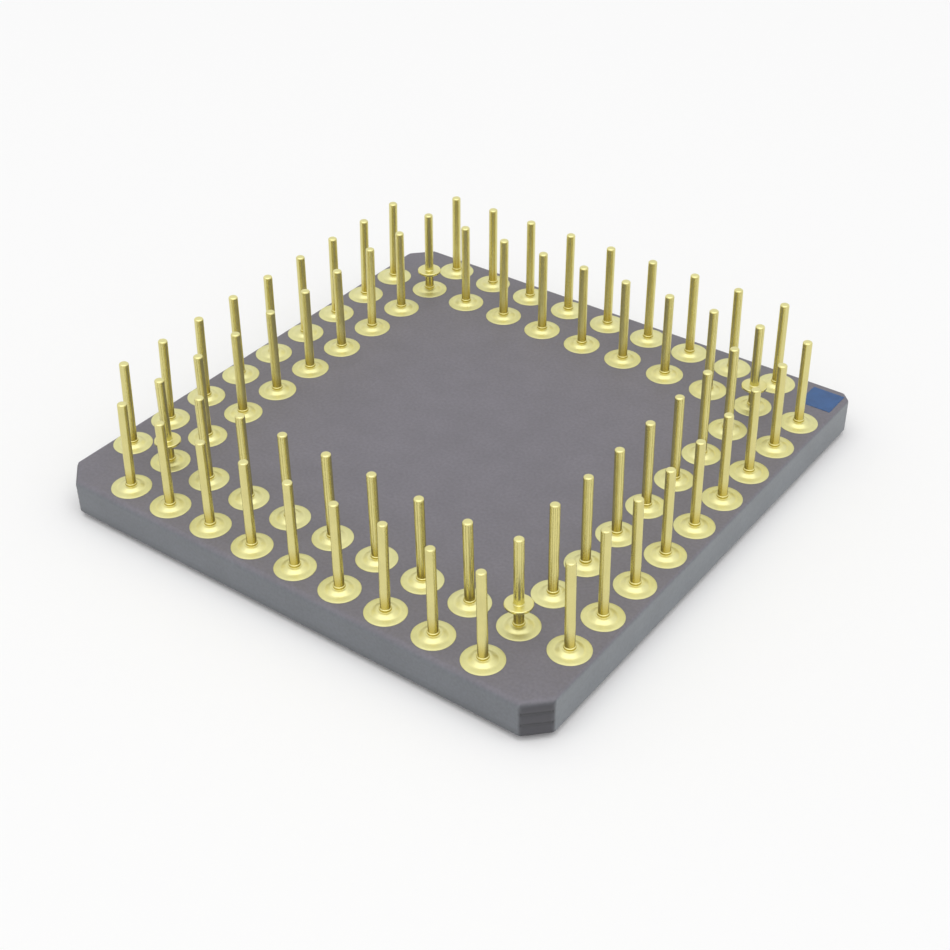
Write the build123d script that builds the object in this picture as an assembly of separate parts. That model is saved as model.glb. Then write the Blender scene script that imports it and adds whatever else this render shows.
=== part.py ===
from build123d import *
import os
from math import atan2, cos, degrees, dist, pi

# 68-pin ceramic package, lying on its lid with the pins up.
# Origin: middle of the lid's outer face. X and Y run along the edges, Z up through the pins. Millimetres.

# Pin grid. Pins fill the outer rings, less the four outermost corners.
pitch = 2.54
grid_count = 11
ring_count = 2
row_letters = "ABCDEFGHJKL"

# Ceramic: three tapes fired together. The underside tape is cut for the bond shelf, the next for the die's well.
edge_margin_x = 1.16
edge_margin_y = 1.26
base_tape = 0.59
well_tape = 0.59
shelf_tape = 0.59
plain_corner_cut = 1.0
index_corner_cut = 0.5
edge_radius = 0.15

# Pins
wire_diameter = 0.457
pin_height = 4.64
tip_chamfer = 0.07
head_diameter = 0.62
head_thickness = 0.11

# Standoff pins: the flange's upper face is what a board or socket rests on.
standoff_height = 1.27
flange_diameter = 1.27
flange_thickness = 0.15
hub_diameter = 0.68
hub_thickness = 0.13

# Braze joint: a wide thin foot over the whole pad, then a steeper mound up to the pin's head
pad_diameter = 1.905
shoulder_diameter = 1.24
shoulder_height = 0.05
crown_diameter = 0.74
crown_height = 0.17

# Round pieces that repeat for every pin are drawn with flat sides, to keep the whole part light.
pin_sides = 10
joint_sides = 12

# Die, the layer that holds it, and the room around it
die_size = 7.6
die_thickness = 0.38
die_attach_thickness = 0.04
die_attach_margin = 0.12
well_clearance = 0.77
shelf_width = 1.78

# Seal ring, solder and lid. The lid's edge lies back from the ring's outer edge.
ring_width = 1.78
ring_thickness = 0.02
solder_thickness = 0.05
solder_setback = 0.4
solder_overhang = 0.15
lid_setback = 0.51
lid_thickness = 0.254
lid_corner_radius = 0.64

# Bond wires: as many on each side as a quarter of the pins, from pads on the die to fingers on the shelf.
# The margins are what each row of pads or fingers leaves free at the ends of its side.
wires_per_side = 17
bond_wire = 0.032
bond_foot = 0.06
bond_pad_inset = 0.12
bond_pad_margin = 0.6
finger_inset = 0.63
finger_margin = 0.09
bond_loop_height = 0.16
bond_loop_share = 0.33

# Blue index mark, a film of ink on the empty grid corner
mark_size = 1.75
mark_thickness = 0.02

# Levels, from the lid's outer face up
solder_level = lid_thickness
ring_level = solder_level + solder_thickness
underside_level = ring_level + ring_thickness
shelf_level = underside_level + shelf_tape
well_floor_level = shelf_level + well_tape
pin_face_level = well_floor_level + base_tape
die_face_level = well_floor_level - die_attach_thickness - die_thickness

# Plan sizes
grid_span = pitch * (grid_count - 1)
body_x = grid_span + 2 * edge_margin_x
body_y = grid_span + 2 * edge_margin_y
well_size = die_size + 2 * well_clearance
mouth_size = well_size + 2 * shelf_width
ring_size = mouth_size + 2 * ring_width
lid_size = ring_size - 2 * lid_setback


def bar(diameter, length, sides):
    """Upright bar with flat sides, its edges on the circle of the given diameter."""
    return extrude(RegularPolygon(diameter / 2, sides), length)


def tapered_bar(foot_diameter, top_diameter, height, sides):
    """Upright bar with flat sides that narrows evenly from its foot to its top."""
    inset = (foot_diameter - top_diameter) / 2 * cos(pi / sides)
    lean = degrees(atan2(inset, height))
    return extrude(RegularPolygon(foot_diameter / 2, sides), height, taper=lean)


def square_frame(outer_size, inner_size, thickness):
    """Flat square frame."""
    return extrude(Rectangle(outer_size, outer_size) - Rectangle(inner_size, inner_size), thickness)


def top_edges(solid):
    """Edges around the highest face."""
    return solid.faces().sort_by(Axis.Z)[-1].edges()


def body_outline():
    """Plan of the ceramic: a rectangle with its corners cut, the index corner the least."""
    outline = Rectangle(body_x, body_y)
    corners = outline.vertices().sort_by(lambda corner: corner.X + corner.Y)
    outline = chamfer(corners[:-1], plain_corner_cut)
    index_corner = outline.vertices().sort_by(lambda corner: corner.X + corner.Y)[-1]
    return chamfer(index_corner, index_corner_cut)


def ceramic_body():
    """Co-fired block with softly rounded rims and the stepped die cavity open at its underside."""
    thickness = pin_face_level - underside_level
    block = extrude(body_outline(), thickness)
    rims = block.edges().filter_by(Plane.XY)
    block = fillet(rims, edge_radius)
    mouth = extrude(Rectangle(mouth_size, mouth_size), shelf_tape)
    well = extrude(Rectangle(well_size, well_size), shelf_tape + well_tape)
    return Pos(0, 0, underside_level) * (block - mouth - well)


def plain_pin():
    """Nail-head pin, standing on its head."""
    length = pin_height - crown_height - head_thickness
    wire = bar(wire_diameter, length, pin_sides)
    wire = chamfer(top_edges(wire), tip_chamfer)
    return bar(head_diameter, head_thickness, pin_sides) + Pos(0, 0, head_thickness) * wire


def standoff_pin():
    """Nail-head pin with a flange on a small hub. The wire above the flange is fully round, for a socket."""
    flange_top = standoff_height - crown_height
    flange_level = flange_top - flange_thickness
    hub_level = flange_level - hub_thickness
    wire = extrude(Circle(wire_diameter / 2), pin_height - standoff_height)
    wire = chamfer(top_edges(wire), tip_chamfer)
    pieces = [
        bar(head_diameter, head_thickness, pin_sides),
        Pos(0, 0, head_thickness) * bar(wire_diameter, hub_level - head_thickness, pin_sides),
        Pos(0, 0, hub_level) * bar(hub_diameter, hub_thickness, pin_sides),
        Pos(0, 0, flange_level) * bar(flange_diameter, flange_thickness, joint_sides),
        Pos(0, 0, flange_top) * wire,
    ]
    return Part() + pieces


def braze_joint():
    """Mound of braze, its foot on the pad's rim and its flat crown under the pin's head."""
    foot = tapered_bar(pad_diameter, shoulder_diameter, shoulder_height, joint_sides)
    mound = tapered_bar(shoulder_diameter, crown_diameter, crown_height - shoulder_height, joint_sides)
    return foot + Pos(0, 0, shoulder_height) * mound


def grid_place(row, column, level):
    """Place of a grid position. Rows and columns count from the index corner."""
    return Pos(grid_span / 2 - column * pitch, grid_span / 2 - row * pitch, level)


def is_filled(row, column):
    """True where the grid has a pin."""
    last = grid_count - 1
    from_edge = min(row, column, last - row, last - column)
    is_corner = row in (0, last) and column in (0, last)
    return from_edge < ring_count and not is_corner


def is_standoff(row, column):
    """True at the four corners of the innermost ring of pins."""
    inner_lines = (ring_count - 1, grid_count - ring_count)
    return row in inner_lines and column in inner_lines


def bond_wire_between(start, end):
    """Wire from the die's face to the shelf, looped towards the lid. Its two feet are flat."""
    reach = dist(start, end)
    step = shelf_level - die_face_level
    crest = bond_loop_share * reach
    crest_level = min(0, step) - bond_loop_height
    outline = Polyline(
        (0, 0),
        (bond_foot, 0),
        (crest, crest_level + bond_wire),
        (reach - bond_foot, step),
        (reach, step),
        (crest, crest_level),
        close=True,
    )
    wire = extrude(make_face(outline), bond_wire / 2, both=True)
    turn = degrees(atan2(end[1] - start[1], end[0] - start[0]))
    return Pos(start[0], start[1], die_face_level) * Rot(0, 0, turn) * Rot(90, 0, 0) * wire


def bond_wires():
    """Fans of wires on the die's four sides."""
    pad_line = die_size / 2 - bond_pad_inset
    pad_row = die_size - 2 * bond_pad_margin
    finger_line = well_size / 2 + finger_inset
    finger_row = well_size - 2 * finger_margin
    shares = [number / (wires_per_side - 1) - 0.5 for number in range(wires_per_side)]
    fan = [bond_wire_between((pad_line, share * pad_row), (finger_line, share * finger_row)) for share in shares]
    return [Rot(0, 0, 90 * side) * wire for side in range(4) for wire in fan]


def die():
    """Silicon chip, its working face towards the lid."""
    return Pos(0, 0, die_face_level) * extrude(Rectangle(die_size, die_size), die_thickness)


def die_attach():
    """Thin layer between the die and the floor of the well, just wider than the die."""
    size = die_size + 2 * die_attach_margin
    level = well_floor_level - die_attach_thickness
    return Pos(0, 0, level) * extrude(Rectangle(size, size), die_attach_thickness)


def seal_ring():
    """Printed metal frame around the cavity's mouth."""
    return Pos(0, 0, ring_level) * square_frame(ring_size, mouth_size, ring_thickness)


def lid_seal():
    """Frame of solder under the lid, squeezed out a little past its edge."""
    outer = lid_size + 2 * solder_overhang
    inner = mouth_size + 2 * solder_setback
    return Pos(0, 0, solder_level) * square_frame(outer, inner, solder_thickness)


def lid():
    """Thin metal plate with rounded corners. The part lies on it."""
    return extrude(RectangleRounded(lid_size, lid_size, lid_corner_radius), lid_thickness)


def index_mark():
    """Square film of ink on the empty index corner of the grid."""
    return grid_place(0, 0, pin_face_level) * extrude(Rectangle(mark_size, mark_size), mark_thickness)


def build_nodes():
    """Every sub-part's solids by node name. Pins and joints are grouped by grid row, standoff pins apart."""
    nodes = {
        "ceramic_body": [ceramic_body()],
        "index_mark": [index_mark()],
        "seal_ring": [seal_ring()],
        "lid_seal": [lid_seal()],
        "lid": [lid()],
        "die_attach": [die_attach()],
        "die": [die()],
        "bond_wires": bond_wires(),
    }
    pin = plain_pin()
    flanged = standoff_pin()
    joint = braze_joint()
    for row, letter in enumerate(row_letters.lower()):
        filled = [column for column in range(grid_count) if is_filled(row, column)]
        plain = [column for column in filled if not is_standoff(row, column)]
        pin_level = pin_face_level + crown_height
        nodes[f"braze_row_{letter}"] = [grid_place(row, c, pin_face_level) * joint for c in filled]
        nodes[f"pins_row_{letter}"] = [grid_place(row, c, pin_level) * pin for c in plain]
        for column in sorted(set(filled) - set(plain)):
            name = f"standoff_pin_{letter}{column + 1}"
            nodes[name] = [grid_place(row, column, pin_level) * flanged]
    return nodes


os.makedirs("parts", exist_ok=True)
for name, solids in build_nodes().items():
    shape = solids[0] if len(solids) == 1 else Compound(label=name, children=solids)
    export_step(shape, f"parts/{name}.step")
    print(name, len(solids), "solid" if len(solids) == 1 else "solids")
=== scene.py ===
"""Looks of a ceramic pin grid array chip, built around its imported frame.

The chip lies on its lid with its pins up, and its marked corner is at +X +Y.
Pieces are shaped in millimetres on the bench and turned to metres when they are finished.
"""

from __future__ import annotations

import logging
import math
import random
from collections.abc import Callable, Mapping, Sequence
from dataclasses import dataclass, field, replace
from enum import Enum
from typing import Any, ClassVar

import bmesh
import bpy
from mathutils import Euler, Matrix, Vector

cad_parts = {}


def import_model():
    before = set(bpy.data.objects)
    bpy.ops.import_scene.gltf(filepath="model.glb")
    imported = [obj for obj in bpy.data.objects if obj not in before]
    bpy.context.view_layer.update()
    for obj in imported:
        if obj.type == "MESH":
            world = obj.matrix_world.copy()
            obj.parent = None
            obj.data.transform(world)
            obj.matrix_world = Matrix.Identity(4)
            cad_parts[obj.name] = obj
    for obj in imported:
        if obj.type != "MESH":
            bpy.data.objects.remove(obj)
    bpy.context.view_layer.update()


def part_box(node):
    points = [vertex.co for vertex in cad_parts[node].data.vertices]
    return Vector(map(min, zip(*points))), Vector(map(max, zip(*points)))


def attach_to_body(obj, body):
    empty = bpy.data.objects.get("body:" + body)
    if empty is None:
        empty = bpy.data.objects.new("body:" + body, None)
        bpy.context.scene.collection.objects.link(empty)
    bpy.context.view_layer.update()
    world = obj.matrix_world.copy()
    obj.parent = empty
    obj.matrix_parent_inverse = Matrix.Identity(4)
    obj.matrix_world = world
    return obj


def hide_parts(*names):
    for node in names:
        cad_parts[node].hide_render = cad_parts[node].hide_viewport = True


log = logging.getLogger("chip")

Colour = tuple[float, float, float, float]
Span = tuple[float, float]
Socket = bpy.types.NodeSocket
Test = Callable[[Sequence[Vector]], bool]

BODY = "root"
MM_IN_METRE = 1000.0
# Millimetres within which two places are taken for one when picking, and vertices are merged.
NEAR = 1e-4
WELD = 1e-5
# Where most of a noise texture's values lie.
NOISE_SPAN: Span = (0.3, 0.7)
# Numbers of the Mix node's colour sockets.
MIX_FROM, MIX_TO, MIXED_COLOUR = 6, 7, 2


def metres(millimetres: float) -> float:
    """A length in millimetres, in metres."""
    return millimetres / MM_IN_METRE


def linear(colour: str) -> Colour:
    """Turn an sRGB hex colour into linear light.

    Args:
        colour: Six hex digits after a hash sign.

    Returns:
        Red, green, blue and an alpha of 1.
    """
    channels = [int(colour[i : i + 2], 16) / 255.0 for i in (1, 3, 5)]
    red, green, blue = (c / 12.92 if c <= 0.04045 else ((c + 0.055) / 1.055) ** 2.4 for c in channels)
    return red, green, blue, 1.0


def box_mm(node: str) -> tuple[Vector, Vector]:
    """Lowest and highest corners of a node of the frame, in millimetres."""
    low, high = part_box(node)
    return low * MM_IN_METRE, high * MM_IN_METRE


def settle() -> None:
    """Put the place, turn and size of the selected objects into their meshes."""
    bpy.ops.object.transform_apply(location=True, rotation=True, scale=True)


class Element(Enum):
    """What edit mode selects."""

    VERTEX = "VERT"
    EDGE = "EDGE"
    FACE = "FACE"


def standing(corners: Sequence[Vector]) -> bool:
    """Say whether the two ends of an edge lie at different heights."""
    return abs(corners[0].z - corners[1].z) > NEAR


def lying_at(level: float) -> Test:
    """Make a test for elements that lie at one height.

    Args:
        level: The height.

    Returns:
        The test.
    """
    return lambda corners: all(abs(corner.z - level) < NEAR for corner in corners)


class Workpiece:
    """One mesh on the bench, in millimetres, open in edit mode until it is finished."""

    def __init__(self) -> None:
        """Take the object that is active, settle it and open it for shaping."""
        settle()
        self.obj: bpy.types.Object = bpy.context.active_object
        bpy.ops.object.mode_set(mode="EDIT")
        bpy.ops.mesh.select_all(action="SELECT")

    @classmethod
    def start(cls, primitive: Callable[..., Any], **settings: Any) -> Workpiece:
        """Clear the bench and start from a primitive.

        Args:
            primitive: Operator that adds it.
            settings: What the operator is told.

        Returns:
            The new workpiece.
        """
        cls.clear_bench()
        primitive(**settings)
        return cls()

    @classmethod
    def block(cls, low: Vector, high: Vector) -> Workpiece:
        """Start from a block between its lowest and its highest corner."""
        place = {"location": (low + high) / 2.0, "scale": high - low}
        return cls.start(bpy.ops.mesh.primitive_cube_add, size=1.0, **place)

    @staticmethod
    def clear_bench() -> None:
        """Leave edit mode and deselect everything."""
        if bpy.context.mode != "OBJECT":
            bpy.ops.object.mode_set(mode="OBJECT")
        bpy.ops.object.select_all(action="DESELECT")

    def pick(self, element: Element, test: Test) -> int:
        """Select the elements whose corners pass a test, and nothing else.

        Args:
            element: Kind of element that is tested.
            test: Gets the places of an element's corners and says whether it is selected.

        Returns:
            The number of elements selected.
        """
        bpy.ops.mesh.select_mode(type=element.value)
        bpy.ops.mesh.select_all(action="DESELECT")
        mesh = bmesh.from_edit_mesh(self.obj.data)
        if element is Element.VERTEX:
            chosen = [v for v in mesh.verts if test([v.co])]
        else:
            elements = mesh.edges if element is Element.EDGE else mesh.faces
            chosen = [e for e in elements if test([v.co for v in e.verts])]
        for item in chosen:
            item.select_set(True)
        mesh.select_flush_mode()
        bmesh.update_edit_mesh(self.obj.data)
        return len(chosen)

    def pull(self, offset: tuple[float, float, float]) -> None:
        """Extrude what is selected by an offset."""
        bpy.ops.mesh.extrude_region_move(TRANSFORM_OT_translate={"value": offset})

    def widen(self, factor: float) -> None:
        """Scale what is selected about the upright axis."""
        bpy.ops.transform.resize(value=(factor, factor, 1.0), center_override=(0.0, 0.0, 0.0))

    def round_off(self, width: float, segments: int) -> None:
        """Bevel the selected edges.

        Args:
            width: How far the bevel reaches from each edge.
            segments: Number of flats that make the round.
        """
        bpy.ops.mesh.bevel(offset=width, segments=segments, clamp_overlap=True)

    def close(self) -> bpy.types.Object:
        """Merge doubles, point the faces outwards and leave edit mode.

        Returns:
            The mesh object, still in millimetres.
        """
        bpy.ops.mesh.select_all(action="SELECT")
        bpy.ops.mesh.remove_doubles(threshold=WELD)
        bpy.ops.mesh.normals_make_consistent(inside=False)
        bpy.ops.object.mode_set(mode="OBJECT")
        return self.obj


@dataclass(frozen=True)
class Ring:
    """One ring of a turned piece and the rounding of its edge, in millimetres."""

    radius: float
    level: float
    rounding: float = 0.0

    def raised(self, height: float) -> Ring:
        """The same ring, that much higher."""
        return replace(self, level=self.level + height)

    def holds(self, corners: Sequence[Vector]) -> bool:
        """Say whether all the corners lie on this ring."""
        return lying_at(self.level)(corners) and all(abs(c.xy.length - self.radius) < NEAR for c in corners)


def turn_piece(rings: Sequence[Ring], sides: int, segments: int) -> bpy.types.Object:
    """Turn a solid about the upright axis, from its lowest ring to its highest.

    Args:
        rings: Rings of the outline, from the bottom face's edge to the top face's.
        sides: Number of flats around the piece.
        segments: Number of flats in each rounded edge.

    Returns:
        The mesh object, in millimetres.
    """
    foot = {"radius": rings[0].radius, "location": (0.0, 0.0, rings[0].level)}
    piece = Workpiece.start(bpy.ops.mesh.primitive_circle_add, vertices=sides, fill_type="NGON", **foot)
    for before, after in zip(rings, rings[1:]):
        piece.pull((0.0, 0.0, after.level - before.level))
        if after.radius != before.radius:
            piece.widen(after.radius / before.radius)
    for ring in rings:
        if ring.rounding and piece.pick(Element.EDGE, ring.holds):
            piece.round_off(ring.rounding, segments)
    return piece.close()


def copy_to(pattern: bpy.types.Object, places: Sequence[Matrix]) -> bpy.types.Object:
    """Copy a piece to each place, each copy with its own mesh, and join the copies.

    Args:
        pattern: Piece that is copied.
        places: Where each copy stands.

    Returns:
        The joined object, with every place in its mesh.
    """
    Workpiece.clear_bench()
    copies = []
    for place in places:
        copy = pattern.copy()
        copy.data = pattern.data.copy()
        copy.matrix_world = place
        bpy.context.scene.collection.objects.link(copy)
        copy.select_set(True)
        copies.append(copy)
    bpy.context.view_layer.objects.active = copies[0]
    if len(copies) > 1:
        bpy.ops.object.join()
    settle()
    return copies[0]


def remove(obj: bpy.types.Object) -> None:
    """Take a pattern or a cutter off the bench, its object with its mesh."""
    bpy.data.meshes.remove(obj.data)


def modify(obj: bpy.types.Object, kind: str, **settings: Any) -> None:
    """Put a modifier on an object and apply it.

    Args:
        obj: Object that is changed.
        kind: Type of the modifier.
        settings: Its properties.
    """
    modifier = obj.modifiers.new(kind.lower(), kind)
    for name, value in settings.items():
        setattr(modifier, name, value)
    bpy.context.view_layer.objects.active = obj
    bpy.ops.object.modifier_apply(modifier=modifier.name)


def roughen(obj: bpy.types.Object, lump: float, depth: float) -> None:
    """Give a surface low lumps, as brazing leaves them.

    Args:
        obj: Piece that is changed, in millimetres.
        lump: Distance between lumps.
        depth: Full height of the lumps.
    """
    clouds = bpy.data.textures.new(f"{obj.name}_lumps", type="CLOUDS")
    clouds.noise_scale = lump
    modify(obj, "DISPLACE", texture=clouds, texture_coords="LOCAL", strength=depth)


def hand_over(
    obj: bpy.types.Object,
    name: str,
    material: bpy.types.Material,
    slot: str,
    nodes: Sequence[str],
    crease: float = 32.0,
    keep_flats: bool = True,
) -> bpy.types.Object:
    """Finish a piece: scale it to metres, smooth it, dress it and fix it to the frame.

    Args:
        obj: Mesh object in millimetres.
        name: Its final name.
        material: Its finish.
        slot: Material slot of the record that the finish belongs to. Not used.
        nodes: Nodes of the frame that the piece stands for.
        crease: Angle between faces, in degrees, above which an edge stays sharp.
        keep_flats: Whether large faces stay flat to the eye right up to a rounded edge.

    Returns:
        The finished piece.
    """
    Workpiece.clear_bench()
    obj.select_set(True)
    bpy.context.view_layer.objects.active = obj
    obj.scale = (metres(1.0),) * 3
    settle()
    bpy.ops.object.shade_smooth_by_angle(angle=math.radians(crease))
    if keep_flats:
        modify(obj, "WEIGHTED_NORMAL", keep_sharp=True)
    obj.name = name
    obj.data.name = name
    obj.data.materials.clear()
    obj.data.materials.append(material)
    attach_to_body(obj, BODY)
    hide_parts(*nodes)
    log.info("%s: %d faces", name, len(obj.data.polygons))
    return obj


def dress(node: str, material: bpy.types.Material) -> None:
    """Give a node of the frame a finish in place of its plain one.

    Args:
        node: Name of the node.
        material: Its finish.
    """
    obj = bpy.data.objects[node]
    obj.data.materials.clear()
    obj.data.materials.append(material)
    log.info("%s: dressed", node)


class Recipe:
    """Node tree of one finish or of the world, while it is put together."""

    def __init__(self, owner: bpy.types.Material | bpy.types.World, coordinates: str = "Object") -> None:
        """Start an empty tree, with the coordinates that its patterns follow.

        Args:
            owner: Material or world that the recipe is for.
            coordinates: Output of the texture coordinate node.
        """
        owner.use_nodes = True
        self.owner = owner
        self.tree: bpy.types.NodeTree = owner.node_tree
        self.tree.nodes.clear()
        self.place = self.add("ShaderNodeTexCoord", output=coordinates)

    def add(
        self,
        kind: str,
        inputs: Mapping[str | int, Any] | None = None,
        output: str | int = 0,
        **settings: Any,
    ) -> Socket:
        """Add one node.

        Args:
            kind: Type name of the node.
            inputs: For each input, by name or number, the socket that feeds it or its own value.
            output: The output that is wanted, by name or number.
            settings: Properties of the node itself.

        Returns:
            The wanted output.
        """
        node = self.tree.nodes.new(kind)
        for name, value in settings.items():
            setattr(node, name, value)
        for name, value in (inputs or {}).items():
            if isinstance(value, Socket):
                self.tree.links.new(value, node.inputs[name])
            else:
                node.inputs[name].default_value = value
        return node.outputs[output]

    def close(self, shader: Socket) -> bpy.types.Material | bpy.types.World:
        """Connect the shader to the tree's output.

        Args:
            shader: Output of the last node.

        Returns:
            The finished material or world.
        """
        in_world = isinstance(self.owner, bpy.types.World)
        output = self.tree.nodes.new("ShaderNodeOutputWorld" if in_world else "ShaderNodeOutputMaterial")
        self.tree.links.new(shader, output.inputs["Surface"])
        return self.owner


def noise_of(place: Socket, size: float, detail: float = 2.0) -> dict[str | int, Any]:
    """Inputs of a noise texture whose features have a real size.

    Args:
        place: Coordinates that it follows.
        size: Distance between features, in millimetres.
        detail: How much finer structure it has.

    Returns:
        The inputs by name.
    """
    return {"Vector": place, "Scale": 1.0 / metres(size), "Detail": detail}


def spread(noise: Socket, span: Span) -> dict[str | int, Any]:
    """Inputs of a map range that spreads the usual values of a noise over a span.

    Args:
        noise: Value of a noise texture.
        span: What its low and its high values become.

    Returns:
        The inputs by number.
    """
    return {0: noise, 1: NOISE_SPAN[0], 2: NOISE_SPAN[1], 3: span[0], 4: span[1]}


@dataclass(frozen=True)
class CofiredAlumina:
    """Dark co-fired alumina: cast tapes, pressed together and fired, with no glaze.

    The pigment makes it purple-grey, and the bare fired skin gives a soft sheen, a faint mottle and a
    fine grain. The pin face is warmer and duller. The walls are smoother and bluer. The two walls that
    face X are painted paler than the others, as painted light on them, and the others have painted
    shade along their foot, next to the shaded floor. The snapped corner cuts are dark and show the
    seams between the tapes as bands. The real grain of a few micrometres is too fine to show, and is
    drawn at 0.15 mm.
    """

    name: str = "cofired_alumina"
    face: str = "#6c6971"
    wall: str = "#61656b"
    # Painted light: the walls facing X are painted paler than the others, standing in for brighter light on
    # them.
    painted_lit_wall: str = "#6e7378"
    cut: str = "#2d2c34"
    ior: float = 1.76
    face_roughness: float = 0.62
    wall_roughness: float = 0.36
    grain_roughness: float = 0.1
    mottle: float = 1.7
    mottle_tone: Span = (0.94, 1.06)
    grain: float = 0.15
    grain_tone: Span = (0.9, 1.1)
    grain_depth: float = 0.006
    bump: float = 0.35
    flat_turn: Span = (0.25, 0.9)
    cut_turn: Span = (0.12, 0.48)
    seam_width: float = 0.16
    seam_wave: float = 0.45
    seam_play: float = 0.1
    seam_shades: Span = (0.02, 0.6)
    # Painted shade along the foot of the darker walls: where it starts and ends above the underside, and
    # how much darker it gets.
    foot_start: float = 0.05
    foot_height: float = 0.5
    foot_shade: float = 0.26

    def material(self, underside: float, tape: float) -> bpy.types.Material:
        """Make the finish.

        Args:
            underside: Height of the lowest tape's lower face, in millimetres.
            tape: Thickness of one tape, in millimetres.

        Returns:
            The material.
        """
        recipe = Recipe(bpy.data.materials.new(self.name))
        add = recipe.add
        place = recipe.place
        normal = add("ShaderNodeNewGeometry", output="Normal")
        toward = add("ShaderNodeSeparateXYZ", {0: normal}).node.outputs
        across = add("ShaderNodeMath", {0: toward["X"]}, operation="ABSOLUTE")
        upright = add("ShaderNodeMath", {0: toward["Z"]}, operation="ABSOLUTE")
        low, high = self.flat_turn
        flat = add("ShaderNodeMapRange", {0: upright, 1: low, 2: high}, interpolation_type="SMOOTHSTEP")
        corner = add("ShaderNodeMath", {0: toward["X"], 1: toward["Y"]}, operation="MULTIPLY")
        corner = add("ShaderNodeMath", {0: corner}, operation="ABSOLUTE")
        low, high = self.cut_turn
        cut = add("ShaderNodeMapRange", {0: corner, 1: low, 2: high})
        mottle = add("ShaderNodeTexNoise", noise_of(place, self.mottle, 3.0))
        grain = add("ShaderNodeTexNoise", noise_of(place, self.grain))

        # Start from the darker walls with their painted foot shade, then mix in the walls painted paler,
        # the face and the cuts.
        colour = self.wall_with_painted_foot_shade(recipe, underside)
        for share, shown in ((across, self.painted_lit_wall), (flat, self.face), (cut, self.cut)):
            inputs = {0: share, MIX_FROM: colour, MIX_TO: linear(shown)}
            colour = add("ShaderNodeMix", inputs, MIXED_COLOUR, data_type="RGBA")
        wall = add("ShaderNodeMath", {0: 1.0, 1: flat}, operation="SUBTRACT")
        depth = self.seam_depth(recipe, underside, tape, cut)
        depth = add("ShaderNodeMath", {0: depth, 1: wall}, operation="MULTIPLY")
        tone = add("ShaderNodeMath", {0: 1.0, 1: depth}, operation="SUBTRACT")
        for noise, span in ((mottle, self.mottle_tone), (grain, self.grain_tone)):
            factor = add("ShaderNodeMapRange", spread(noise, span))
            tone = add("ShaderNodeMath", {0: tone, 1: factor}, operation="MULTIPLY")
        colour = add("ShaderNodeVectorMath", {0: colour, "Scale": tone}, operation="SCALE")

        roughness = add("ShaderNodeMapRange", {0: flat, 3: self.wall_roughness, 4: self.face_roughness})
        inputs = {0: grain, 1: self.grain_roughness, 2: roughness}
        roughness = add("ShaderNodeMath", inputs, operation="MULTIPLY_ADD")
        height = add("ShaderNodeMath", {0: grain, 1: mottle})
        bump = {"Height": height, "Strength": self.bump, "Distance": metres(self.grain_depth)}
        normal = add("ShaderNodeBump", bump)
        inputs = {"Base Color": colour, "Roughness": roughness, "Normal": normal, "IOR": self.ior}
        return recipe.close(add("ShaderNodeBsdfPrincipled", inputs))

    def wall_with_painted_foot_shade(self, recipe: Recipe, underside: float) -> Socket:
        """Colour of the darker walls, with painted shade along their foot.

        Args:
            recipe: Recipe of the finish.
            underside: Height of the lowest tape's lower face, in millimetres.

        Returns:
            A colour socket.
        """
        level = recipe.add("ShaderNodeSeparateXYZ", {0: recipe.place}, "Z")
        low, high = metres(underside + self.foot_start), metres(underside + self.foot_height)
        inputs = {0: level, 1: low, 2: high, 3: 1.0 - self.foot_shade, 4: 1.0}
        shade = recipe.add("ShaderNodeMapRange", inputs, interpolation_type="SMOOTHSTEP")
        inputs = {0: linear(self.wall)[:3], "Scale": shade}
        return recipe.add("ShaderNodeVectorMath", inputs, operation="SCALE")

    def seam_depth(self, recipe: Recipe, underside: float, tape: float, on_cut: Socket) -> Socket:
        """How much darker the wavy seams between the tapes are: barely on the walls, a lot on the cuts.

        Args:
            recipe: Recipe of the finish.
            underside: Height of the lowest tape's lower face, in millimetres.
            tape: Thickness of one tape, in millimetres.
            on_cut: 1 on a corner cut.

        Returns:
            The share of the colour that is taken away.
        """
        add = recipe.add
        wave = add("ShaderNodeTexNoise", noise_of(recipe.place, self.seam_wave, 3.0))
        level = add("ShaderNodeSeparateXYZ", {0: recipe.place}, "Z")
        inputs = {0: wave, 1: metres(self.seam_play), 2: level}
        level = add("ShaderNodeMath", inputs, operation="MULTIPLY_ADD")
        start = metres(underside + self.seam_play / 2.0)
        level = add("ShaderNodeMath", {0: level, 1: start}, operation="SUBTRACT")
        distance = add("ShaderNodeMath", {0: level, 1: metres(tape / 2.0)}, operation="PINGPONG")
        low, high = self.seam_shades
        depth = add("ShaderNodeMapRange", {0: on_cut, 3: low, 4: high})
        inputs = {0: distance, 1: 0.0, 2: metres(self.seam_width), 3: depth, 4: 0.0}
        return add("ShaderNodeMapRange", inputs, interpolation_type="SMOOTHSTEP")


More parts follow.
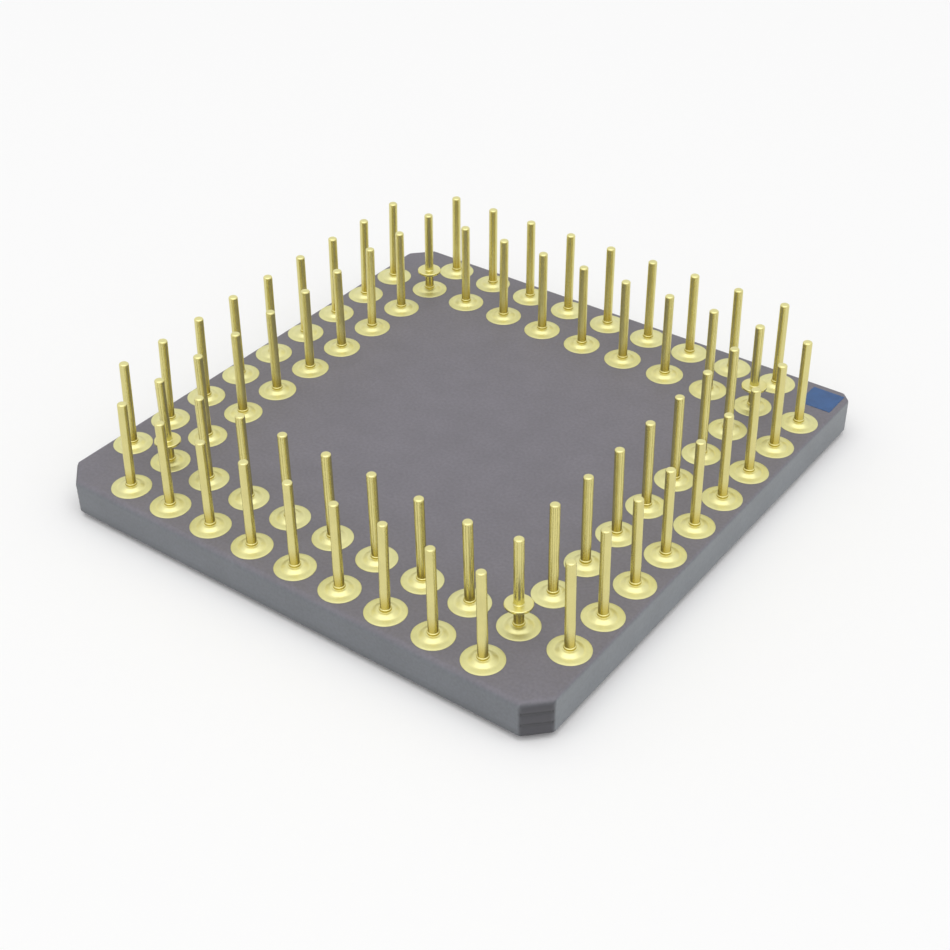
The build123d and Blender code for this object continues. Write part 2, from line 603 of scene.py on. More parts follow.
@dataclass(frozen=True)
class GoldPlate:
    """Matt gold plating over nickel on a flat sheet or print: a pale metal with a broad soft gleam.

    The bath leaves wide patches that differ a little in colour. Its grain of about a micrometre is too
    fine to show, and is drawn at 0.06 mm or more.
    """

    name: str
    colour: str = "#dfd997"
    deep: str = "#dbd38e"
    roughness: float = 0.3
    roughness_play: float = 0.03
    patch: float = 0.6
    grain: float = 0.06
    grain_depth: float = 0.0008

    def material(self) -> bpy.types.Material:
        """Make the finish.

        Returns:
            The material.
        """
        recipe = Recipe(bpy.data.materials.new(self.name))
        add = recipe.add
        place = recipe.place
        patches = add("ShaderNodeTexNoise", noise_of(place, self.patch))
        grain = add("ShaderNodeTexNoise", noise_of(place, self.grain, 3.0))
        inputs = {0: patches, MIX_FROM: linear(self.deep), MIX_TO: linear(self.colour)}
        colour = add("ShaderNodeMix", inputs, MIXED_COLOUR, data_type="RGBA")
        span = (self.roughness - self.roughness_play, self.roughness + self.roughness_play)
        roughness = add("ShaderNodeMapRange", spread(grain, span))
        bump = {"Height": grain, "Strength": 1.0, "Distance": metres(self.grain_depth)}
        normal = add("ShaderNodeBump", bump)
        inputs = {"Base Color": colour, "Metallic": 1.0, "Roughness": roughness, "Normal": normal}
        return recipe.close(add("ShaderNodeBsdfPrincipled", inputs))


@dataclass(frozen=True)
class BrazeGold:
    """Gold plating over a braze mound: a smooth pale gleam on the slope, dull on the thin outer ring.

    The braze flowed smooth on the slope. On the ring the print's grain of about 0.02 mm shows through,
    and is drawn at 0.06 mm.
    """

    name: str = "gold_plated_braze"
    slope: str = "#dedaa0"
    ring: str = "#d9d69e"
    slope_roughness: float = 0.36
    ring_roughness: float = 0.46
    grain_roughness: float = 0.12
    patch: float = 0.6
    patch_tone: Span = (0.93, 1.03)
    grain: float = 0.06
    grain_depth: float = 0.006
    slope_bump: float = 0.25

    def material(self, pitch: float, slope_end: float, ring_start: float) -> bpy.types.Material:
        """Make the finish.

        Args:
            pitch: Distance between pins, in millimetres.
            slope_end: Radius where the slope's smooth finish ends, in millimetres.
            ring_start: Radius where the outer ring's dull finish begins, in millimetres.

        Returns:
            The material.
        """
        recipe = Recipe(bpy.data.materials.new(self.name))
        add = recipe.add
        place = recipe.place
        axes = add("ShaderNodeSeparateXYZ", {0: place}).node.outputs
        offset = add("ShaderNodeCombineXYZ").node
        for axis in "XY":
            inputs = {0: axes[axis], 1: metres(pitch / 2.0)}
            folded = add("ShaderNodeMath", inputs, operation="PINGPONG")
            recipe.tree.links.new(folded, offset.inputs[axis])
        offset = offset.outputs[0]
        radius = add("ShaderNodeVectorMath", {0: offset}, "Value", operation="LENGTH")
        inputs = {0: radius, 1: metres(slope_end), 2: metres(ring_start)}
        ring = add("ShaderNodeMapRange", inputs, interpolation_type="SMOOTHSTEP")
        grain = add("ShaderNodeTexNoise", noise_of(place, self.grain, 3.0))
        patches = add("ShaderNodeTexNoise", noise_of(place, self.patch))
        inputs = {0: ring, MIX_FROM: linear(self.slope), MIX_TO: linear(self.ring)}
        colour = add("ShaderNodeMix", inputs, MIXED_COLOUR, data_type="RGBA")
        tone = add("ShaderNodeMapRange", spread(patches, self.patch_tone))
        colour = add("ShaderNodeVectorMath", {0: colour, "Scale": tone}, operation="SCALE")
        roughness = add("ShaderNodeMapRange", {0: ring, 3: self.slope_roughness, 4: self.ring_roughness})
        inputs = {0: grain, 1: self.grain_roughness, 2: roughness}
        roughness = add("ShaderNodeMath", inputs, operation="MULTIPLY_ADD")
        strength = add("ShaderNodeMapRange", {0: ring, 3: self.slope_bump, 4: 1.0})
        bump = {"Height": grain, "Strength": strength, "Distance": metres(self.grain_depth)}
        normal = add("ShaderNodeBump", bump)
        inputs = {"Base Color": colour, "Metallic": 1.0, "Roughness": roughness, "Normal": normal}
        return recipe.close(add("ShaderNodeBsdfPrincipled", inputs))


@dataclass(frozen=True)
class DrawnGold:
    """Gold plating over a drawn wire: satin, one gold painted deeper on the upright sides than on top, as
    painted shade.

    The drawing die leaves faint lines along the wire, which break up the reflections. They are some
    micrometres wide, too fine to show, and are drawn at 0.05 mm. The gold is painted deepest at the
    wire's foot, as painted shade where the wire meets its mound.
    """

    name: str = "gold_plated_drawn_wire"
    # Painted shade: the upright sides are painted a deeper gold than the faces that face up, which are the
    # same gold.
    side_with_painted_shade: str = "#dad18e"
    # Painted shade at the wire's foot, where it meets the mound, fading out a little way up the wire.
    foot: str = "#c9b75a"
    face: str = "#dfd99a"
    side_roughness: float = 0.2
    face_roughness: float = 0.3
    line_roughness: float = 0.08
    face_turn: Span = (0.3, 0.8)
    foot_shade_height: float = 1.0
    line_width: float = 0.05
    line_length: float = 1.5
    line_tone: Span = (0.97, 1.03)
    patch: float = 0.8
    patch_tone: Span = (0.95, 1.03)

    def material(self, foot_level: float) -> bpy.types.Material:
        """Make the finish.

        Args:
            foot_level: Height of the wire's foot, in millimetres.

        Returns:
            The material.
        """
        recipe = Recipe(bpy.data.materials.new(self.name))
        add = recipe.add
        place = recipe.place
        level = add("ShaderNodeSeparateXYZ", {0: place}, "Z")
        inputs = {0: level, 1: metres(foot_level), 2: metres(foot_level + self.foot_shade_height)}
        height = add("ShaderNodeMapRange", inputs, interpolation_type="SMOOTHSTEP")
        normal = add("ShaderNodeNewGeometry", output="Normal")
        upright = add("ShaderNodeSeparateXYZ", {0: normal}, "Z")
        upright = add("ShaderNodeMath", {0: upright}, operation="ABSOLUTE")
        low, high = self.face_turn
        facing_up = add("ShaderNodeMapRange", {0: upright, 1: low, 2: high})
        stretch = (1.0, 1.0, self.line_width / self.line_length)
        along = add("ShaderNodeVectorMath", {0: place, 1: stretch}, operation="MULTIPLY")
        lines = add("ShaderNodeTexNoise", noise_of(along, self.line_width))
        patches = add("ShaderNodeTexNoise", noise_of(place, self.patch))
        # Start from the painted foot shade, then mix in the side gold painted deeper up the wire, and the
        # paler gold where the surface faces up.
        colour = linear(self.foot)
        for share, shown in ((height, self.side_with_painted_shade), (facing_up, self.face)):
            inputs = {0: share, MIX_FROM: colour, MIX_TO: linear(shown)}
            colour = add("ShaderNodeMix", inputs, MIXED_COLOUR, data_type="RGBA")
        worn = add("ShaderNodeMapRange", spread(patches, self.patch_tone))
        drawn = add("ShaderNodeMapRange", spread(lines, self.line_tone))
        tone = add("ShaderNodeMath", {0: worn, 1: drawn}, operation="MULTIPLY")
        colour = add("ShaderNodeVectorMath", {0: colour, "Scale": tone}, operation="SCALE")
        roughness = add("ShaderNodeMapRange", {0: facing_up, 3: self.side_roughness, 4: self.face_roughness})
        inputs = {0: lines, 1: self.line_roughness, 2: roughness}
        roughness = add("ShaderNodeMath", inputs, operation="MULTIPLY_ADD")
        inputs = {"Base Color": colour, "Metallic": 1.0, "Roughness": roughness}
        return recipe.close(add("ShaderNodeBsdfPrincipled", inputs))


@dataclass(frozen=True)
class PlainSolid:
    """One even stuff, such as ink, solder or silicon, with a cloudy tone and a fine grain."""

    name: str
    colour: str
    roughness: float
    metallic: float = 0.0
    ior: float = 1.5
    cloud: float = 0.4
    unevenness: float = 0.12
    grain: float = 0.04
    grain_depth: float = 0.002
    grain_roughness: float = 0.1
    bump: float = 0.6

    def material(self) -> bpy.types.Material:
        """Make the finish.

        Returns:
            The material.
        """
        recipe = Recipe(bpy.data.materials.new(self.name))
        add = recipe.add
        place = recipe.place
        clouds = add("ShaderNodeTexNoise", noise_of(place, self.cloud, 3.0))
        grain = add("ShaderNodeTexNoise", noise_of(place, self.grain))
        tone = add("ShaderNodeMapRange", spread(clouds, (1.0 - self.unevenness, 1.0 + self.unevenness)))
        colour = add("ShaderNodeVectorMath", {0: linear(self.colour)[:3], "Scale": tone}, operation="SCALE")
        smoothest = self.roughness - self.grain_roughness / 2.0
        inputs = {0: grain, 1: self.grain_roughness, 2: smoothest}
        roughness = add("ShaderNodeMath", inputs, operation="MULTIPLY_ADD")
        bump = {"Height": grain, "Strength": self.bump, "Distance": metres(self.grain_depth)}
        inputs = {
            "Base Color": colour,
            "Roughness": roughness,
            "Metallic": self.metallic,
            "IOR": self.ior,
            "Normal": add("ShaderNodeBump", bump),
        }
        return recipe.close(add("ShaderNodeBsdfPrincipled", inputs))


class PinKind(Enum):
    """The two kinds of pin in the grid."""

    PLAIN = "plain"
    STANDOFF = "standoff"


@dataclass(frozen=True)
class PinGrid:
    """Layout of the pins: the two outer rings of a square grid, less its four corners."""

    pitch: float = 2.54
    count: int = 11
    rings: int = 2
    letters: str = "abcdefghjkl"

    def kind(self, row: int, column: int) -> PinKind | None:
        """Kind of pin at a grid position.

        Args:
            row: Row from the marked corner, from 0.
            column: Column from the marked corner, from 0.

        Returns:
            The kind of pin, or None where the grid is empty.
        """
        last = self.count - 1
        from_edge = min(row, column, last - row, last - column)
        if from_edge >= self.rings or (row in (0, last) and column in (0, last)):
            return None
        inner = (self.rings - 1, self.count - self.rings)
        return PinKind.STANDOFF if row in inner and column in inner else PinKind.PLAIN

    def columns(self, row: int, *kinds: PinKind) -> list[int]:
        """Columns of a row that hold a pin of one of the kinds."""
        return [column for column in range(self.count) if self.kind(row, column) in kinds]

    def place(self, row: int, column: int) -> Vector:
        """Middle of a grid position in millimetres, at height 0."""
        half = self.pitch * (self.count - 1) / 2.0
        return Vector((half - column * self.pitch, half - row * self.pitch, 0.0))


@dataclass
class CeramicBody:
    """Co-fired block with cut corners, softly rounded rims and the stepped cavity in its underside."""

    finish: CofiredAlumina = CofiredAlumina()
    plain_cut: float = 1.0
    left_cut: float = 1.2
    index_cut: float = 0.5
    rim_radius: float = 0.15
    foot_radius: float = 0.05
    upright_radius: float = 0.15
    cut_rim_radius: float = 0.3
    rim_segments: int = 6
    seam_depth: float = 0.04
    seam_half_width: float = 0.09
    tapes: int = 3
    shelf_width: float = 1.78
    plug_below: float = 1.0
    low: Vector = field(init=False)
    high: Vector = field(init=False)

    def __post_init__(self) -> None:
        """Read the block's corners from the frame."""
        self.low, self.high = box_mm("ceramic_body")

    @property
    def tape(self) -> float:
        """Thickness of one tape."""
        return (self.high.z - self.low.z) / self.tapes

    def plain_cuts(self) -> list[tuple[Vector, float]]:
        """List the three corners that aren't marked.

        Returns:
            Where each would be if it weren't cut, and how much is cut off it.
        """
        low, high = self.low, self.high
        return [
            (Vector((low.x, low.y)), self.left_cut),
            (Vector((high.x, low.y)), self.plain_cut),
            (Vector((low.x, high.y)), self.plain_cut),
        ]

    @staticmethod
    def depth_in(place: Vector, corner: Vector) -> float:
        """How far a point lies inside the body from an uncut corner, measured along both walls."""
        return abs(place.x - corner.x) + abs(place.y - corner.y)

    def on_plain_cut(self, place: Vector) -> bool:
        """Say whether a point lies on one of the three plain corner cuts."""
        return any(abs(self.depth_in(place, corner) - cut) < NEAR for corner, cut in self.plain_cuts())

    def cut_corners(self, piece: Workpiece) -> None:
        """Cut the four upright edges, the marked one the least.

        Args:
            piece: Block that is being shaped.
        """
        marked = (Vector((self.high.x, self.high.y)), self.index_cut)
        for corner, cut in [marked, *self.plain_cuts()]:
            piece.pick(Element.EDGE, lambda ends: all((end.xy - corner).length < NEAR for end in ends))
            piece.round_off(cut, 1)

    def soften(self, piece: Workpiece) -> Workpiece:
        """Round the upright edges and the rims, the lower rim least, the tops of the plain cuts most.

        Args:
            piece: Block with its corners cut, still with sharp edges.

        Returns:
            The rounded block, open again for shaping.
        """
        in_top_rim = lying_at(self.high.z)
        extra = self.cut_rim_radius - self.rim_radius
        for radius, test in (
            (self.upright_radius, standing),
            (self.foot_radius, lying_at(self.low.z)),
            (self.rim_radius, in_top_rim),
            (extra, lambda ends: in_top_rim(ends) and all(map(self.on_plain_cut, ends))),
        ):
            piece.pick(Element.EDGE, test)
            bpy.ops.transform.edge_bevelweight(value=radius / self.cut_rim_radius)
        settings = {"width": self.cut_rim_radius, "segments": self.rim_segments}
        modify(piece.close(), "BEVEL", limit_method="WEIGHT", **settings)
        return Workpiece()

    def score_seams(self, piece: Workpiece) -> None:
        """Press a shallow groove into the plain cuts along each seam between two tapes.

        Args:
            piece: Rounded block.
        """
        for seam in range(1, self.tapes):
            level = self.low.z + seam * self.tape
            for offset in (-self.seam_half_width, 0.0, self.seam_half_width):
                bpy.ops.mesh.select_all(action="SELECT")
                bpy.ops.mesh.bisect(plane_co=(0.0, 0.0, level + offset), plane_no=(0.0, 0.0, 1.0))
            for corner, cut in self.plain_cuts():
                signs = (math.copysign(1.0, -corner.x), math.copysign(1.0, -corner.y), 0.0)
                inward = Vector(signs).normalized()
                reach = cut + self.upright_radius
                piece.pick(
                    Element.VERTEX,
                    lambda at: abs(at[0].z - level) < NEAR
                    and max(abs(at[0].x - corner.x), abs(at[0].y - corner.y)) < reach
                    and self.depth_in(at[0], corner) < cut + self.seam_depth,
                )
                bpy.ops.transform.translate(value=inward * self.seam_depth)

    def cavity_plug(self) -> bpy.types.Object:
        """Shape the stepped plug that the cavity is cut with.

        Returns:
            The plug, which reaches a little below the underside.
        """
        mouth = box_mm("seal_ring")[1].x - self.shelf_width
        foot, shelf = self.low.z - self.plug_below, self.low.z + self.tape
        plug = Workpiece.block(Vector((-mouth, -mouth, foot)), Vector((mouth, mouth, shelf)))
        plug.pick(Element.FACE, lying_at(shelf))
        bpy.ops.mesh.inset(thickness=self.shelf_width)
        plug.pull((0.0, 0.0, self.tape))
        return plug.close()

    def build(self) -> bpy.types.Object:
        """Make the body and put it in the frame.

        Returns:
            The finished piece.
        """
        piece = Workpiece.block(self.low, self.high)
        self.cut_corners(piece)
        piece = self.soften(piece)
        self.score_seams(piece)
        block = piece.close()
        plug = self.cavity_plug()
        modify(block, "BOOLEAN", object=plug, operation="DIFFERENCE", solver="EXACT")
        remove(plug)
        material = self.finish.material(self.low.z, self.tape)
        return hand_over(block, "fired_ceramic_block", material, "alumina", ["ceramic_body"])


@dataclass
class PinField:
    """All the pins: nail-head wires that stand on the braze mounds, four of them with a flange.

    Heights in the head's outline start at its underside, and those in the flange's at its upper face.
    The pins that the photograph shows bent are named by row and column, with their lean towards +X
    and +Y.
    """

    grid: PinGrid = PinGrid()
    finish: DrawnGold = DrawnGold()
    wire_radius: float = 0.2285
    # The nail head: its underside, its rounded rim, and the flare where the wire begins.
    head: tuple[Ring, ...] = (
        Ring(0.275, 0.0),
        Ring(0.275, 0.11, 0.04),
        Ring(0.2385, 0.113),
        Ring(0.2285, 0.13),
    )
    # The hub, the flange and the small fillet on the flange's upper face.
    flange: tuple[Ring, ...] = (
        Ring(0.2285, -0.28),
        Ring(0.34, -0.275, 0.03),
        Ring(0.34, -0.15),
        Ring(0.635, -0.148, 0.045),
        Ring(0.635, 0.0, 0.045),
        Ring(0.2585, 0.001),
        Ring(0.2285, 0.035),
    )
    seating_height: float = 1.27
    tip_rounding: float = 0.085
    tip_play: float = 0.005
    sides: int = 40
    segments: int = 4
    lean_deg: float = 0.3
    inward_deg: float = 0.9
    seed: int = 68
    bent_deg: Mapping[str, tuple[float, float]] = field(
        default_factory=lambda: {
            "b11": (1.3, 0.0),
            "c11": (1.3, 0.0),
            "d10": (-2.1, 3.4),
            "h2": (-0.6, 1.6),
            "h11": (1.2, 0.0),
            "j2": (-1.1, 3.1),
            "j11": (1.9, 0.3),
            "k3": (2.5, -3.5),
            "k4": (1.6, -2.6),
            "k11": (1.5, 0.5),
            "l4": (-0.4, 1.7),
            "l10": (0.3, 2.1),
        }
    )

    def crown(self) -> float:
        """Height of the heads' undersides."""
        return box_mm("pins_row_a")[0].z

    def turn_pin(self, kind: PinKind) -> bpy.types.Object:
        """Turn a pin, with room for its tip to lean.

        Args:
            kind: Kind of pin.

        Returns:
            The pin, standing at the origin's upright axis.
        """
        rings = [ring.raised(self.crown()) for ring in self.head]
        if kind is PinKind.STANDOFF:
            seat = box_mm("ceramic_body")[1].z + self.seating_height
            rings += [ring.raised(seat) for ring in self.flange]
        tip = box_mm("pins_row_a")[1].z - self.tip_play
        rings.append(Ring(self.wire_radius, tip, self.tip_rounding))
        return turn_piece(rings, self.sides, self.segments)

    def stance(self, row: int, column: int, dice: random.Random) -> Matrix:
        """Where a pin stands: its grid position, its turn and its lean, which is small unless it is bent.

        Args:
            row: Row from the marked corner, from 0.
            column: Column from the marked corner, from 0.
            dice: Source of the small leans.

        Returns:
            The pin's place.
        """
        middle = self.grid.place(row, column)
        inward = -self.inward_deg * middle.x / self.grid.place(0, 0).x
        bent_x, bent_y = self.bent_deg.get(f"{self.grid.letters[row]}{column + 1}", (0.0, 0.0))
        tilt_x = math.radians(dice.uniform(-self.lean_deg, self.lean_deg) - bent_y)
        tilt_y = math.radians(dice.uniform(-self.lean_deg, self.lean_deg) + bent_x + inward)
        turn = Euler((tilt_x, tilt_y, dice.uniform(0.0, math.tau)), "ZYX")
        pivot = Matrix.Translation((0.0, 0.0, self.crown()))
        return Matrix.Translation(middle) @ pivot @ turn.to_matrix().to_4x4() @ pivot.inverted()

    def build(self) -> list[bpy.types.Object]:
        """Make one piece for each row's plain pins and one for each standoff pin.

        Returns:
            The finished pieces.
        """
        dice = random.Random(self.seed)
        material = self.finish.material(self.crown() + self.head[1].level)
        patterns = {kind: self.turn_pin(kind) for kind in PinKind}
        pieces = []
        for row, letter in enumerate(self.grid.letters):
            plain = self.grid.columns(row, PinKind.PLAIN)
            groups = [(PinKind.PLAIN, plain, f"wires_row_{letter}", f"pins_row_{letter}")]
            for column in self.grid.columns(row, PinKind.STANDOFF):
                number = f"{letter}{column + 1}"
                name, node = f"flanged_wire_{number}", f"standoff_pin_{number}"
                groups.append((PinKind.STANDOFF, [column], name, node))
            for kind, columns, name, node in groups:
                pins = copy_to(patterns[kind], [self.stance(row, c, dice) for c in columns])
                pieces.append(hand_over(pins, name, material, "pin_gold", [node]))
        for pattern in patterns.values():
            remove(pattern)
        return pieces


@dataclass
class BrazeJoints:
    """The mound of braze under every pin, spread thinly to the rim of its round pad."""

    grid: PinGrid = PinGrid()
    finish: BrazeGold = BrazeGold()
    pad_radius: float = 0.9525
    rim_height: float = 0.02
    rim_rounding: float = 0.012
    rim_segments: int = 2
    shoulder_radius: float = 0.67
    shoulder_height: float = 0.05
    smooth_short_of_shoulder: float = 0.04
    dull_past_shoulder: float = 0.06
    crown_radius: float = 0.34
    collar_radius: float = 0.275
    collar_height: float = 0.012
    collar_shares: tuple[float, ...] = (0.3, 0.6, 0.8, 1.0)
    collar_power: int = 3
    hollow: float = 2.0
    steps: int = 9
    sides: int = 56
    lump: float = 0.45
    lump_depth: float = 0.012
    crease_deg: float = 60.0

    def rings(self) -> list[Ring]:
        """Draw one mound: rim, nearly flat outer ring, hollow slope, crown and a fillet at the pin's head.

        Returns:
            The rings from the bottom up.
        """
        face = box_mm("ceramic_body")[1].z
        crown = box_mm("pins_row_a")[0].z
        middle = (self.pad_radius + self.shoulder_radius) / 2.0
        rings = [
            Ring(self.pad_radius, face),
            Ring(self.pad_radius, face + self.rim_height, self.rim_rounding),
            Ring(middle, face + (self.rim_height + self.shoulder_height) / 2.0),
        ]
        climb = crown - face - self.shoulder_height
        for step in range(self.steps + 1):
            share = step / self.steps
            radius = self.shoulder_radius + (self.crown_radius - self.shoulder_radius) * share
            rise = share**self.hollow * (1.0 + self.hollow * (1.0 - share))
            rings.append(Ring(radius, face + self.shoulder_height + climb * rise))
        for share in self.collar_shares:
            radius = self.crown_radius + (self.collar_radius - self.crown_radius) * share
            rings.append(Ring(radius, crown + self.collar_height * share**self.collar_power))
        return rings

    def build(self) -> list[bpy.types.Object]:
        """Make one piece for each row of joints.

        Returns:
            The finished pieces.
        """
        smooth_end = self.shoulder_radius - self.smooth_short_of_shoulder
        dull_start = self.shoulder_radius + self.dull_past_shoulder
        material = self.finish.material(self.grid.pitch, smooth_end, dull_start)
        mound = turn_piece(self.rings(), self.sides, self.rim_segments)
        pieces = []
        for row, letter in enumerate(self.grid.letters):
            columns = self.grid.columns(row, PinKind.PLAIN, PinKind.STANDOFF)
            joints = copy_to(mound, [Matrix.Translation(self.grid.place(row, c)) for c in columns])
            roughen(joints, self.lump, self.lump_depth)
            name, nodes = f"mounds_row_{letter}", [f"braze_row_{letter}"]
            crease = {"crease": self.crease_deg, "keep_flats": False}
            pieces.append(hand_over(joints, name, material, "braze_gold", nodes, **crease))
        remove(mound)
        return pieces


@dataclass
class IndexMark:
    """Square of blue ink on the empty marked corner of the grid, its edges a little ragged."""

    # Ink pressed through a screen and fired on: an even, half matt film with slightly cloudy cover.
    finish: PlainSolid = PlainSolid("screened_blue_ink", "#2c5487", 0.42, cloud=0.5, unevenness=0.14)
    squares: int = 30
    raggedness: float = 0.03
    ragged_seed: int = 4
    top_share: float = 0.992

    def build(self) -> bpy.types.Object:
        """Make the mark.

        Returns:
            The finished piece.
        """
        low, high = box_mm("index_mark")
        size = high.x - low.x - 2.0 * self.raggedness
        squares = {"x_subdivisions": self.squares, "y_subdivisions": self.squares}
        place = (0.0, 0.0, low.z)
        film = Workpiece.start(bpy.ops.mesh.primitive_grid_add, size=size, location=place, **squares)
        film.pull((0.0, 0.0, high.z - low.z))
        film.pick(Element.VERTEX, lambda at: max(abs(at[0].x), abs(at[0].y)) > size / 2.0 - NEAR)
        bpy.ops.transform.vertex_random(offset=self.raggedness / 2.0, uniform=1.0, seed=self.ragged_seed)
        middle = (low.z + high.z) / 2.0
        film.pick(Element.VERTEX, lambda at: at[0].z < middle)
        bpy.ops.transform.resize(value=(1.0, 1.0, 0.0), center_override=(0.0, 0.0, low.z))
        film.pick(Element.VERTEX, lambda at: at[0].z > middle)
        top = (self.top_share, self.top_share, 0.0)
        bpy.ops.transform.resize(value=top, center_override=(0.0, 0.0, high.z))
        mark = film.close()
        mark.location = ((low.x + high.x) / 2.0, (low.y + high.y) / 2.0, 0.0)
        settle()
        return hand_over(mark, "blue_index_mark", self.finish.material(), "index_ink", ["index_mark"])


@dataclass
class LidStack:
    """The gold plated lid, the solder that holds it and the printed ring that it is soldered to."""

    # Rolled sheet under its plating: smooth, with wide faint patches.
    lid_finish: GoldPlate = GoldPlate("gold_plated_lid", roughness=0.34, patch=2.0, grain=0.08)
    # Solder that ran and froze: a satin metal between gold and silver.
    solder_finish: PlainSolid = PlainSolid("gold_tin_solder", "#c9bb94", 0.36, metallic=1.0, cloud=0.9)
    # Plating over printed and fired metal: dull, with the print's coarse grain.
    ring_finish: GoldPlate = GoldPlate("gold_plated_print", roughness=0.5, grain_depth=0.006)
    corner_radius: float = 0.64
    corner_segments: int = 10
    edge_radius: float = 0.05
    solder_setback: float = 0.4
    solder_bulge: float = 0.04
    edge_segments: int = 3

    def lid(self) -> bpy.types.Object:
        """Make the lid: a thin plate with rounded corners and softened edges.

        Returns:
            The finished piece.
        """
        low, high = box_mm("lid")
        plate = Workpiece.block(low, high)
        plate.pick(Element.EDGE, standing)
        plate.round_off(self.corner_radius, self.corner_segments)
        plate.pick(Element.EDGE, lying_at(low.z))
        plate.round_off(self.edge_radius, self.edge_segments)
        return hand_over(plate.close(), "gold_lid", self.lid_finish.material(), "lid_gold", ["lid"])

    def solder(self) -> bpy.types.Object:
        """Make the solder: a thin frame whose outer edge bulges past the lid's.

        Returns:
            The finished piece.
        """
        low, high = box_mm("lid_seal")
        mouth = box_mm("seal_ring")[1].x - CeramicBody.shelf_width
        sheet = {"size": high.x - low.x, "location": (0.0, 0.0, low.z)}
        frame = Workpiece.start(bpy.ops.mesh.primitive_plane_add, **sheet)
        bpy.ops.mesh.inset(thickness=high.x - mouth - self.solder_setback)
        bpy.ops.mesh.delete(type="FACE")
        bpy.ops.mesh.select_all(action="SELECT")
        frame.pull((0.0, 0.0, high.z - low.z))
        rim = high.x - NEAR
        frame.pick(
            Element.EDGE,
            lambda ends: all(max(abs(end.x), abs(end.y)) > rim for end in ends)
            and (standing(ends) or lying_at(low.z)(ends)),
        )
        frame.round_off(self.solder_bulge, self.edge_segments)
        material = self.solder_finish.material()
        return hand_over(frame.close(), "solder_frame", material, "gold_tin_solder", ["lid_seal"])

    def build(self) -> list[bpy.types.Object]:
        """Make the lid and its solder, and dress the printed ring.

        Returns:
            The finished pieces.
        """
        dress("seal_ring", self.ring_finish.material())
        return [self.lid(), self.solder()]


@dataclass
class SealedDie:
    """What the lid closes in: the silicon die, its attach layer and the bond wires."""

    # Silicon under a skin of glass: dark blue-grey, and the smoothest surface of all.
    silicon: PlainSolid = PlainSolid("passivated_silicon", "#5a6070", 0.22, ior=3.4, cloud=0.8)
    # Glass paste full of silver flakes, fired: pale grey and dull.
    attach: PlainSolid = PlainSolid("silver_filled_glass", "#b9b8b2", 0.6, cloud=0.3)
    # Fine drawn wire: bright grey with a soft gleam.
    wire: PlainSolid = PlainSolid("bonded_aluminium_wire", "#dcdde0", 0.3, metallic=1.0, cloud=0.2)

    def build(self) -> None:
        """Dress the three nodes."""
        for node, finish in (("die", self.silicon), ("die_attach", self.attach), ("bond_wires", self.wire)):
            dress(node, finish.material())


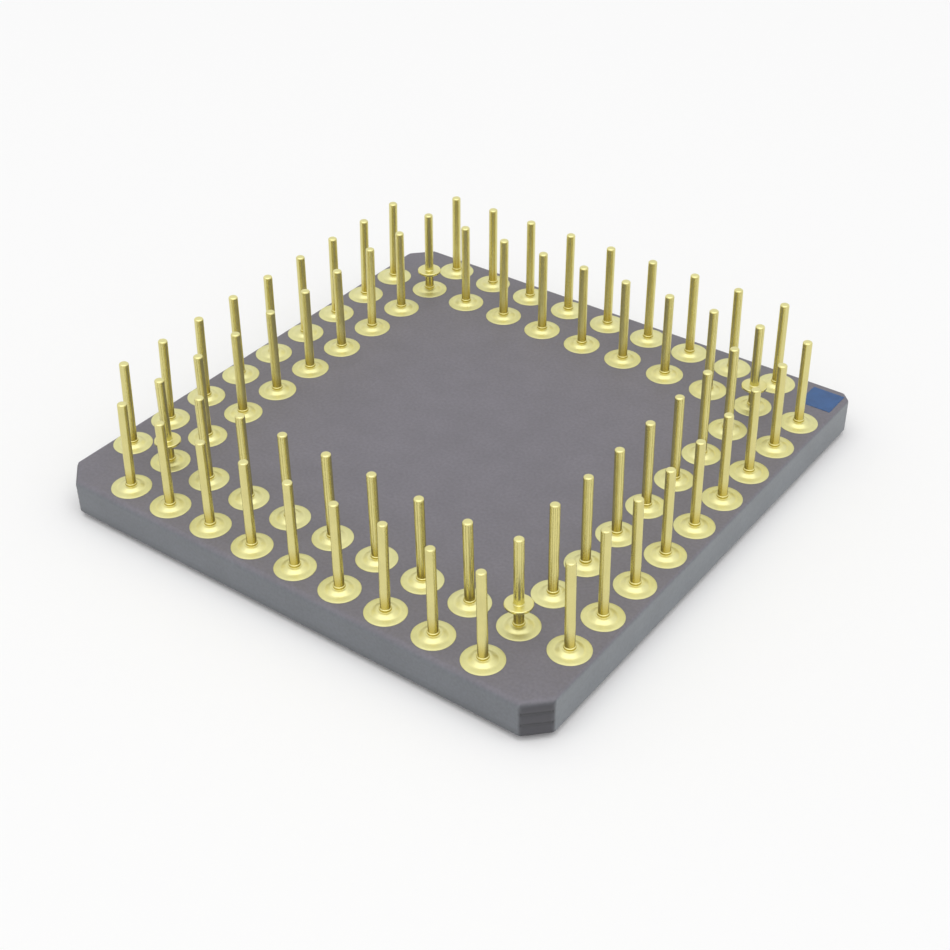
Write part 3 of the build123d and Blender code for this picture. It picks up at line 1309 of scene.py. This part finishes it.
@dataclass
class Studio:
    """Pale floor, soft light from all round and above, and the camera at the photograph's angle.

    Lengths are in millimetres and angles in degrees. The world's strength is the room's, and what the
    sides, the overhead and the lean add in their own directions.
    """

    floor_size: float = 3000.0
    floor_colour: str = "#fbfbfb"
    floor_tone: Span = (0.995, 1.0)
    fibre: float = 0.8
    room: float = 0.45
    overhead: float = 0.3
    sides: float = 0.3
    lean: tuple[float, float, float] = (0.12, -0.15, 0.0)
    softbox_size: float = 1280.0
    softbox_place: tuple[float, float, float] = (120.0, -200.0, 860.0)
    softbox_power: float = 4.1
    azimuth: float = 36.611
    elevation: float = 36.121
    roll: float = -0.598
    distance: float = 75.427
    target: tuple[float, float] = (2.353, -2.604)
    lens: float = 60.668
    sensor: float = 36.0
    nearest: float = 1.0
    WHITE: ClassVar[Colour] = (1.0, 1.0, 1.0, 1.0)

    def floor(self) -> None:
        """Lay the floor that the chip lies on: matt white board, a shade uneven from its fibres."""
        Workpiece.clear_bench()
        bpy.ops.mesh.primitive_plane_add(size=metres(self.floor_size), location=(0.0, 0.0, 0.0))
        floor = bpy.context.active_object
        floor.name = "studio_floor"
        recipe = Recipe(bpy.data.materials.new("matt_white_board"))
        add = recipe.add
        fibres = add("ShaderNodeTexNoise", noise_of(recipe.place, self.fibre))
        low, high = self.floor_tone
        tone = add("ShaderNodeMapRange", {0: fibres, 3: low, 4: high})
        inputs = {0: linear(self.floor_colour)[:3], "Scale": tone}
        colour = add("ShaderNodeVectorMath", inputs, operation="SCALE")
        floor.data.materials.append(recipe.close(add("ShaderNodeBsdfDiffuse", {"Color": colour})))

    def world(self) -> None:
        """Light the scene from all round: most from overhead, the sides and the -Y wall's side.

        The camera, and metal that mirrors the room, see an even white.
        """
        recipe = Recipe(bpy.data.worlds.new("soft_room"), "Generated")
        add = recipe.add
        direction = recipe.place
        squares = add("ShaderNodeVectorMath", {0: direction, 1: direction}, operation="MULTIPLY")
        strength = self.room
        for along, shares in ((squares, (self.sides, 0.0, self.overhead)), (direction, self.lean)):
            more = add("ShaderNodeVectorMath", {0: along, 1: shares}, "Value", operation="DOT_PRODUCT")
            strength = add("ShaderNodeMath", {0: strength, 1: more})
        rays = add("ShaderNodeLightPath").node.outputs
        white = rays["Is Camera Ray"]
        for ray in ("Is Glossy Ray", "Is Transmission Ray"):
            white = add("ShaderNodeMath", {0: white, 1: rays[ray]}, operation="MAXIMUM")
        strength = add("ShaderNodeMix", {0: white, 2: strength, 3: 1.0}, data_type="FLOAT")
        background = add("ShaderNodeBackground", {"Color": self.WHITE, "Strength": strength})
        bpy.context.scene.world = recipe.close(background)

    def softbox(self) -> None:
        """Hang a large soft lamp over the chip."""
        lamp = bpy.data.lights.new("softbox", "AREA")
        lamp.shape = "DISK"
        lamp.size = metres(self.softbox_size)
        lamp.energy = self.softbox_power
        obj = bpy.data.objects.new("softbox", lamp)
        obj.location = Vector(self.softbox_place) / MM_IN_METRE
        obj.rotation_euler = (-obj.location).to_track_quat("-Z", "Y").to_euler()
        bpy.context.scene.collection.objects.link(obj)

    def camera(self) -> None:
        """Set the camera where the photograph was taken from."""
        facing = Matrix.Identity(4)
        for angle, axis in ((self.azimuth, "Z"), (90.0 - self.elevation, "X"), (self.roll, "Z")):
            facing = facing @ Matrix.Rotation(math.radians(angle), 4, axis)
        aim = Vector((*self.target, box_mm("ceramic_body")[1].z))
        place = (aim + facing.col[2].xyz * self.distance) / MM_IN_METRE
        data = bpy.data.cameras.new("photo_camera")
        data.lens = self.lens
        data.sensor_width = self.sensor
        data.clip_start = metres(self.nearest)
        data.clip_end = metres(self.floor_size)
        camera = bpy.data.objects.new("photo_camera", data)
        camera.matrix_world = Matrix.Translation(place) @ facing
        bpy.context.scene.collection.objects.link(camera)
        bpy.context.scene.camera = camera

    def build(self) -> None:
        """Set up the floor, the light and the camera."""
        self.floor()
        self.world()
        self.softbox()
        self.camera()
        bpy.context.scene.view_settings.view_transform = "Standard"


def main() -> None:
    """Load the frame, build every piece around it and set up the studio."""
    logging.basicConfig(level=logging.INFO, format="%(name)s: %(message)s")
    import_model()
    CeramicBody().build()
    BrazeJoints().build()
    PinField().build()
    IndexMark().build()
    LidStack().build()
    SealedDie().build()
    Studio().build()


if __name__ == "__main__":
    main()
